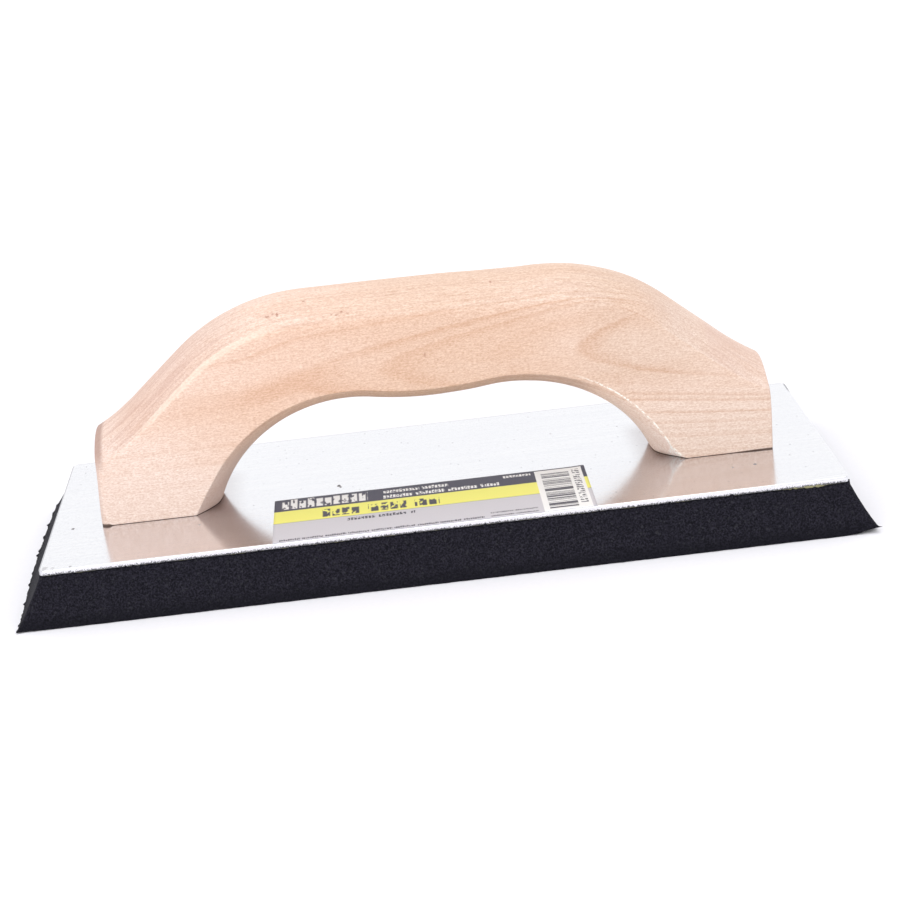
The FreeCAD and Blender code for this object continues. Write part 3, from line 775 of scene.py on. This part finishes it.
# Printed areas as (x from, x to, y from, y to) in mm, then colour.
GROUNDS = [
    ((-60.0, 60.0, -20.3, 0.0), NAVY),
    ((-60.0, 60.0, -29.7, -20.3), YELLOW),
    ((-60.0, 60.0, -30.0, -29.7), (0.30, 0.28, 0.24)),
]
BARCODE_GROUND = (28.1, 41.9, -60.0, -11.5)
BARCODE = (29.8, 38.0, -42.6, -13.6)
BARCODE_DIGITS = (38.9, 41.0, -41.0, -13.0)

# Rows of blurred marks that stand for printing: area, width of one mark, length of one
# group of marks, both in mm, and ink.
PRINT_ROWS = [
    ((-46.6, -21.2, -18.9, -11.2), 2.5, 40.0, WHITE),
    ((-16.7, 2.5, -15.0, -12.4), 0.95, 11.5, WHITE),
    ((-16.8, 17.3, -19.1, -16.5), 0.95, 9.5, WHITE),
    ((18.7, 26.9, -14.0, -12.1), 0.95, 30.0, WHITE),
    ((-34.8, -0.6, -28.3, -22.0), 2.8, 13.5, INK),
    ((-27.5, -7.9, -33.4, -31.2), 1.00, 9.0, INK),
    ((-46.8, 11.2, -43.7, -42.3), 0.62, 6.5, INK),
    ((13.0, 26.8, -41.0, -40.0), 0.55, 7.0, INK),
    ((13.0, 26.8, -43.4, -42.4), 0.55, 7.0, INK),
]


def printing(f, area, width, group, number):
    """Blurred upright marks of different heights, in groups, that fill one row of printing."""
    x0, _, y0, y1 = area
    across = f.math("DIVIDE", f.less(f.x, x0), width)
    rise = f.math("DIVIDE", f.less(f.y, y0), y1 - y0)
    ordinal, within = f.steps(across)
    own = f.random(f.math("ADD", ordinal, 17.3 * (number + 1)))
    stem = f.product(f.band(within, 0.04, 0.20), f.band(within, 0.98, 0.82))
    place = f.join(f.product(across, 1.9), f.product(rise, 2.1), 5.0 * number)
    blotch = f.band(f.noise(place, detail=1.0), 0.36, 0.48)
    top = f.scaled(own, 0.25, 0.80)
    upper_end = f.band(rise, top, f.less(top, 0.12))
    in_group = f.steps(f.math("DIVIDE", f.less(f.x, x0), group))[1]
    shown = f.math("LESS_THAN", in_group, 1.0 - 0.85 * width / group)
    return f.product(stem, blotch, upper_end, shown)


def label_paper():
    f = Finish("printed_label")

    def inside(area, soft=0.08):
        x0, x1, y0, y1 = area
        return f.product(f.band(f.x, x0 - soft, x0 + soft), f.band(f.x, x1 + soft, x1 - soft),
                         f.band(f.y, y0 - soft, y0 + soft), f.band(f.y, y1 + soft, y1 - soft))

    bleed = f.noise(f.place, scale=3.0, detail=2.0)
    f.colour = f.mix(f.band(bleed, 0.3, 0.7), GREY, (0.595, 0.58, 0.625))
    for area, ink in GROUNDS:
        f.paint(ink, inside(area))
    for number, (area, width, group, ink) in enumerate(PRINT_ROWS):
        f.paint(ink, printing(f, area, width, group, number), inside(area))

    # A bar code of random bars, with dots in place of its digits.
    f.paint(WHITE, inside(BARCODE_GROUND))
    module = f.math("FLOOR", f.math("DIVIDE", f.y, 0.31))
    bar = f.math("GREATER_THAN", f.random(f.math("ADD", module, 400.0)), 0.40)
    f.paint((0.10, 0.10, 0.12), bar, inside(BARCODE))
    in_row = f.steps(f.math("DIVIDE", f.y, 1.7))[1]
    dot_y = f.math("ABSOLUTE", f.swing(in_row))
    blotch = f.noise(f.stretched(1.3, 1.3, 1.0), detail=1.0)
    dot = f.product(f.math("LESS_THAN", dot_y, 0.34), f.band(blotch, 0.42, 0.52))
    f.paint((0.14, 0.14, 0.16), dot, inside(BARCODE_DIGITS))

    fibres = f.noise(f.place, scale=1.7, detail=4.0, roughness=0.7)
    rough = f.band(bleed, 0.3, 0.7, 0.42, 0.56)
    return f.finish(Roughness=rough, Specular_IOR_Level=0.3, Normal=f.bump(fibres, 0.12, 0.05))


def studio_floor():
    f = Finish("paper_sweep")
    fibre = f.noise(f.place, scale=0.7, detail=3.0)
    f.colour = f.mix(f.band(fibre, 0.3, 0.7), (0.878, 0.872, 0.912), (0.890, 0.884, 0.924))
    # The sweep glows, more the farther it is from the object: painted light, so that it burns out to
    # white.
    glow = f.band(f.length(f.x, f.y), 170.0, 700.0, 0.0, 0.35)
    return f.finish(Roughness=0.9, Specular_IOR_Level=0.1,
                    Emission_Color=(1.0, 1.0, 1.0, 1.0), Emission_Strength=glow,
                    Normal=f.bump(fibre, 0.05, 0.02))


# -------- rubber pad

def outline(half_x, half_y, radius, spacing):
    """Rounded rectangle, counterclockwise from the right front corner.

    Gives its points, their outward directions, and the way each moves when the whole
    rectangle grows by one millimetre all round with its corners kept at their radius.
    """
    points, outward, spread = [], [], []
    corners = [(1, -1, -90), (1, 1, 0), (-1, 1, 90), (-1, -1, 180)]
    for index, (sx, sy, start) in enumerate(corners):
        centre = np.array([sx * (half_x - radius), sy * (half_y - radius)])
        for step in range(9):
            a = math.radians(start + 90 * step / 8)
            outward.append((math.cos(a), math.sin(a)))
            points.append(centre + radius * np.array(outward[-1]))
            spread.append((sx, sy))
        nx, ny, following = corners[(index + 1) % 4]
        a = math.radians(following)
        side = np.array([math.cos(a), math.sin(a)])
        begin = points[-1]
        end = np.array([nx * (half_x - radius), ny * (half_y - radius)]) + radius * side
        count = max(2, round(math.dist(begin, end) / spacing))
        for t in np.arange(1, count) / count:
            points.append(begin + (end - begin) * t)
            outward.append(side)
            spread.append((sx + (nx - sx) * t, sy + (ny - sy) * t))
    return np.array(points), np.array(outward), np.array(spread)


# Torn slivers left by the mould along the pad's left edge: (y, reach, width) in mm.
BURRS = [
    (-40.0, 0.9, 0.5), (-33.0, 0.3, 1.2), (-26.0, 0.6, 0.6), (-13.5, 0.6, 0.8), (-6.0, 0.3, 1.0),
    (6.5, 0.7, 0.9), (10.0, 0.7, 1.6), (19.8, 0.5, 1.6), (29.0, 0.7, 0.9), (38.0, 0.4, 1.4),
    (49.0, 0.9, 0.5),
]

# Heights of the pad's rings above the floor.  The last two are the torn top edge and the bonded face.
BONDED_LEVEL = float(PAD_HIGH[2])
TORN_LEVEL = BONDED_LEVEL - 0.2
PAD_LEVELS = [0.0, 0.15, 0.4, 0.8, 1.2, 1.7, 2.2, 2.6, 2.9, 3.2, 3.7, 4.6, 5.8, 7.2, 8.8, 10.4]
PAD_LEVELS += [11.7, 12.6, TORN_LEVEL, BONDED_LEVEL]

# The knife lip: the height where it ends, and how far the pad stands out there.
KNEE, KNEE_OUT = 2.9, 4.35
PLATE_CORNER = 1.5


def pad_rings():
    """The pad's sides, as closed rings from the working face up."""
    half_x, half_y = float(PLATE_HIGH[0]), float(PLATE_HIGH[1])
    flare = float(PAD_HIGH[0]) - half_x
    top, outward, spread = outline(half_x, half_y, PLATE_CORNER, 0.62)
    x, y = top[:, 0], top[:, 1]
    run = np.concatenate([[0.0], np.cumsum(np.hypot(*np.diff(top, axis=0).T))])
    on_front = smooth_step((-y - 40.0) / 4.0)
    on_left = smooth_step((-x - 110.0) / 4.0)
    on_right = smooth_step((x - 110.0) / 4.0)
    corner = 2.0 * np.abs(outward[:, 0] * outward[:, 1])

    # The lower fifth leans out more, as a knife lip, but for the right part of the front.
    lip = on_front * smooth_step((72.0 - x) / 34.0) * smooth_step((x + 120.0) / 14.0)
    lip = np.maximum(lip, 0.35 * (1.0 - on_front) * (1.0 - on_right))
    lip = lip * (0.85 + 0.15 * wobble(run, 38.0, SEED + 4))

    # The lower edge is ragged, with burrs at the left end and a spike at the right front corner.
    ragged = 0.09 * wobble(run, 8.0, SEED + 1) + 0.05 * wobble(run, 1.6, SEED + 2)
    ragged = ragged * (1.0 + 0.8 * on_left)
    for place, reach, width in BURRS:
        away = (y - place) / width
        ragged += on_left * reach * np.exp(-away ** 2 * np.where(away > 0, 9.0, 1.6))
    spike = 1.2 * corner ** 8 * on_right * on_front
    tip = 0.45 * corner * (1.0 - on_right * on_front)
    right_corner = smooth_step((x - (half_x - 12.0)) / 12.0) * smooth_step((-y - 26.0) / 18.0)
    left_corner = smooth_step((-x - (half_x - 14.0)) / 14.0) * smooth_step((-y - 30.0) / 14.0)
    lift = 1.3 * right_corner ** 2 + 0.25 * left_corner ** 2
    lift = lift + 0.06 * (1.0 + wobble(run, 47.0, SEED + 3))

    # The left end was cut at a slant: its working face stands out further, most of all in the middle.
    slant = 1.1 + 1.5 * smooth_step((y + 48.0) / 50.0) - 0.5 * smooth_step((y - 24.0) / 24.0)
    slant = slant * smooth_step((-x - 30.0) / (half_x - 30.0))
    flap = wobble(run, 2.9, SEED + 10) + 0.6 * wobble(run, 17.0, SEED + 11)
    flap = np.clip(flap - 0.05, 0.0, 1.0)

    rings = []
    for level in PAD_LEVELS:
        up = level / BONDED_LEVEL
        plain = flare * (1.0 - up) ** 1.06
        if level < KNEE:
            cut = flare + (KNEE_OUT - flare) * level / KNEE
        else:
            cut = KNEE_OUT * ((BONDED_LEVEL - level) / (BONDED_LEVEL - KNEE)) ** 1.06
        low = max(0.0, 1.0 - level / 1.1)
        edge = max(0.0, 1.0 - level / 0.5)
        out = plain * (1.0 - lip) + cut * lip + low * tip + edge * spike
        skin = low * ragged
        z = level + lift * (1.0 - up) ** 3 + 0.45 * edge * spike
        if level < TORN_LEVEL - 0.1:
            skin = skin + 0.04 * wobble(run + 3.1 * level, 6.0, SEED + 5)
        elif level == TORN_LEVEL:
            skin = skin + 0.05 + 0.12 * flap
            z = z + 0.90 * flap
        else:
            skin = skin - 0.3
        ring = np.column_stack([top + spread * out[:, None] + outward * skin[:, None], z])
        ring[:, 0] -= slant * (1.0 - up) ** 1.3
        rings.append(ring)
    return rings


def cap_rings(ring, shares, level, settle=6.0):
    """Rings that shrink one ring towards a line along its middle and settle to one height."""
    made = []
    for share in shares:
        scaled = ring.copy()
        scaled[:, 0] *= 1.0 - share * 0.45
        scaled[:, 1] *= 1.0 - share
        scaled[:, 2] += (level - ring[:, 2]) * min(1.0, share * settle)
        made.append(scaled)
    return made


def closed_stack(rings):
    """Points and faces of a skin through closed rings, from the lowest to the highest."""
    count = len(rings[0])
    faces = ring_faces(len(rings), count)
    faces.append(list(range(count))[::-1])
    faces.append(list(range((len(rings) - 1) * count, len(rings) * count)))
    return np.concatenate(rings), faces


def build_pad(material):
    rings = pad_rings()
    below = cap_rings(rings[0], (0.01, 0.03, 0.07, 0.14, 0.26, 0.42), 0.0)
    above = cap_rings(rings[-1], (0.01, 0.05, 0.2, 0.42), BONDED_LEVEL)
    points, faces = closed_stack(below[::-1] + rings + above)
    new_piece("pad", points, faces, material, "rubber_pad")


# -------- glue line and label

def build_glue(material):
    half_x, half_y = float(FILM_HIGH[0]), float(FILM_HIGH[1])
    edge, outward, _ = outline(half_x, half_y, PLATE_CORNER, 0.8)
    run = np.concatenate([[0.0], np.cumsum(np.hypot(*np.diff(edge, axis=0).T))])
    out = 0.22 * wobble(run, 14.0, SEED + 7) + 0.12 * wobble(run, 3.0, SEED + 8) - 0.1

    # It has squeezed out at the right end of the front, and swells there.
    squeeze = smooth_step((-edge[:, 1] - 40.0) / 3.0) * smooth_step((edge[:, 0] - 95.0) / 4.0)
    squeeze = squeeze * smooth_step((108.5 - edge[:, 0]) / 2.0)
    out = out + squeeze * (0.62 + 0.10 * wobble(run, 2.2, SEED + 9))
    swell = squeeze * (0.32 + 0.06 * wobble(run, 3.1, SEED + 12))

    low, high = float(FILM_LOW[2]), float(FILM_HIGH[2])
    middle = (low + high) / 2
    rings = []
    tucks = [(low, 0.25), (low + 0.05, 0.04), (middle, 0.0), (high - 0.05, 0.04), (high, 0.25)]
    for level, tuck in tucks:
        ring = np.column_stack([edge + outward * (out - tuck)[:, None], np.full(len(edge), level)])
        ring[:, 2] += swell * (level - middle) / (high - low) * 2.0
        rings.append(ring)
    shares = (0.02, 0.08, 0.3, 0.7, 0.93)
    below = cap_rings(rings[0], shares, low, settle=50.0)
    above = cap_rings(rings[-1], shares, high, settle=50.0)
    points, faces = closed_stack(below[::-1] + rings + above)
    new_piece("glue_line", points, faces, material, "adhesive_film")


def build_label(material):
    """A thin rippled sheet with cut corners, coming loose at its far right corner."""
    (x0, y0, z0), (x1, y1, z1) = LABEL_LOW, LABEL_HIGH
    columns, rows = 117, 45
    corner_cut, underside = 0.24, 0.012
    x, y = np.meshgrid(np.linspace(x0, x1, columns), np.linspace(y0, y1, rows))
    from_corner = np.minimum(x - x0, x1 - x) + np.minimum(y - y0, y1 - y)
    pull = np.clip(corner_cut - from_corner, 0.0, None) / 2
    x += pull * np.sign((x0 + x1) / 2 - x)
    y += pull * np.sign((y0 + y1) / 2 - y)
    ripple = 0.018 * np.sin(x * 0.31 + 1.2) * np.sin(y * 0.47) + 0.012 * np.sin(x * 0.83 + y * 0.6)
    lift = 0.14 * smooth_step((x - x1 + 4.0) / 4.0) * smooth_step((y - y1 + 5.0) / 5.0)
    z = z0 + np.maximum(ripple, 0.0) + lift
    layers = [np.stack([x, y, z + thick], axis=2).reshape(-1, 3) for thick in (underside, z1 - z0)]

    number = np.arange(x.size).reshape(x.shape)
    quads = [number[:-1, :-1], number[:-1, 1:], number[1:, 1:], number[1:, :-1]]
    quads = np.stack(quads, axis=2).reshape(-1, 4)
    rim = np.concatenate([number[0], number[1:, -1], number[-1, -2::-1], number[-2:0:-1, 0]])
    following = np.roll(rim, -1)
    edge = np.stack([rim, following, following + x.size, rim + x.size], axis=1)
    faces = np.concatenate([quads[:, ::-1], quads + x.size, edge]).tolist()
    new_piece("label", np.concatenate(layers), faces, material, "product_label")


# -------- the object

build_handle(wood())
build_pad(rubber())
build_glue(glue())
build_label(label_paper())


def refinish(node, material):
    """Give a CAD node its finish."""
    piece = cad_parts[node]
    piece.data.materials.clear()
    piece.data.materials.append(material)


refinish("backing_plate", aluminium())
screw_finish = steel()
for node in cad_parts:
    if node.startswith("screw_"):
        refinish(node, screw_finish)


# -------- studio

def build_floor():
    half = 4.0
    mesh = bpy.data.meshes.new("floor")
    corners = [(-half, -half, 0), (half, -half, 0), (half, half, 0), (-half, half, 0)]
    mesh.from_pydata(corners, [], [(0, 1, 2, 3)])
    mesh.materials.append(studio_floor())
    floor = bpy.data.objects.new("floor", mesh)
    floor.location.z = -0.0001
    bpy.context.scene.collection.objects.link(floor)


def build_world():
    world = bpy.data.worlds.new("studio")
    bpy.context.scene.world = world
    world.use_nodes = True
    tree = world.node_tree
    tree.nodes.clear()
    coordinates = tree.nodes.new("ShaderNodeTexCoord")
    split = tree.nodes.new("ShaderNodeSeparateXYZ")
    tree.links.new(coordinates.outputs["Generated"], split.inputs[0])
    back = tree.nodes.new("ShaderNodeMapRange")
    back.interpolation_type = "SMOOTHSTEP"
    for key, number in (("From Min", -0.4), ("From Max", 0.7), ("To Min", 0.92), ("To Max", 1.17)):
        back.inputs[key].default_value = number
    tree.links.new(split.outputs["Y"], back.inputs["Value"])
    light = tree.nodes.new("ShaderNodeBackground")
    light.inputs["Color"].default_value = (1.0, 1.0, 1.0, 1.0)
    tree.links.new(back.outputs[0], light.inputs["Strength"])
    output = tree.nodes.new("ShaderNodeOutputWorld")
    tree.links.new(light.outputs[0], output.inputs["Surface"])


def build_lamp(name, place, aim, size, power):
    data = bpy.data.lights.new(name, "AREA")
    data.shape = "RECTANGLE"
    data.size, data.size_y = size
    data.energy = power
    lamp = bpy.data.objects.new(name, data)
    lamp.location = place
    lamp.rotation_mode = "QUATERNION"
    lamp.rotation_quaternion = (Vector(aim) - Vector(place)).to_track_quat("-Z", "Y")
    bpy.context.scene.collection.objects.link(lamp)


# The camera's place, as it was solved from the plate's and the pad's edges: angles in degrees,
# then its distance from the origin and its shift to the right and up, in mm.
AZIMUTH, ELEVATION, ROLL = -1.26, 19.42, -6.22
DISTANCE, SHIFT_RIGHT, SHIFT_UP = 634.0, 2.32, 20.29
SENSOR, LENS = 36.0, 84.0


def build_camera():
    azimuth, elevation, roll = (math.radians(a) for a in (AZIMUTH, ELEVATION, ROLL))
    ahead = Vector((-math.sin(azimuth), math.cos(azimuth), 0.0))
    back = Vector((0.0, 0.0, math.sin(elevation))) - ahead * math.cos(elevation)
    level = Vector((math.cos(azimuth), math.sin(azimuth), 0.0))
    rise = back.cross(level)
    right = level * math.cos(roll) + rise * math.sin(roll)
    up = rise * math.cos(roll) - level * math.sin(roll)
    place = (back * DISTANCE + right * SHIFT_RIGHT + up * SHIFT_UP) * MM
    data = bpy.data.cameras.new("camera")
    data.sensor_width, data.lens = SENSOR, LENS
    data.clip_start, data.clip_end = 0.05, 20.0
    camera = bpy.data.objects.new("camera", data)
    turn = Matrix((right, up, back)).transposed().to_4x4()
    camera.matrix_world = Matrix.Translation(place) @ turn
    bpy.context.scene.collection.objects.link(camera)
    bpy.context.scene.camera = camera


build_floor()
build_world()
build_lamp("key", (-0.20, -0.90, 0.85), (0.0, 0.0, 0.03), (0.9, 0.7), 3.0)
build_lamp("fill", (-0.60, -0.95, 0.25), (0.0, 0.0, 0.03), (0.7, 0.35), 1.5)
build_lamp("top", (0.40, 0.20, 1.20), (0.0, 0.0, 0.0), (1.2, 0.9), 3.0)
build_camera()
bpy.context.scene.view_settings.view_transform = "Standard"
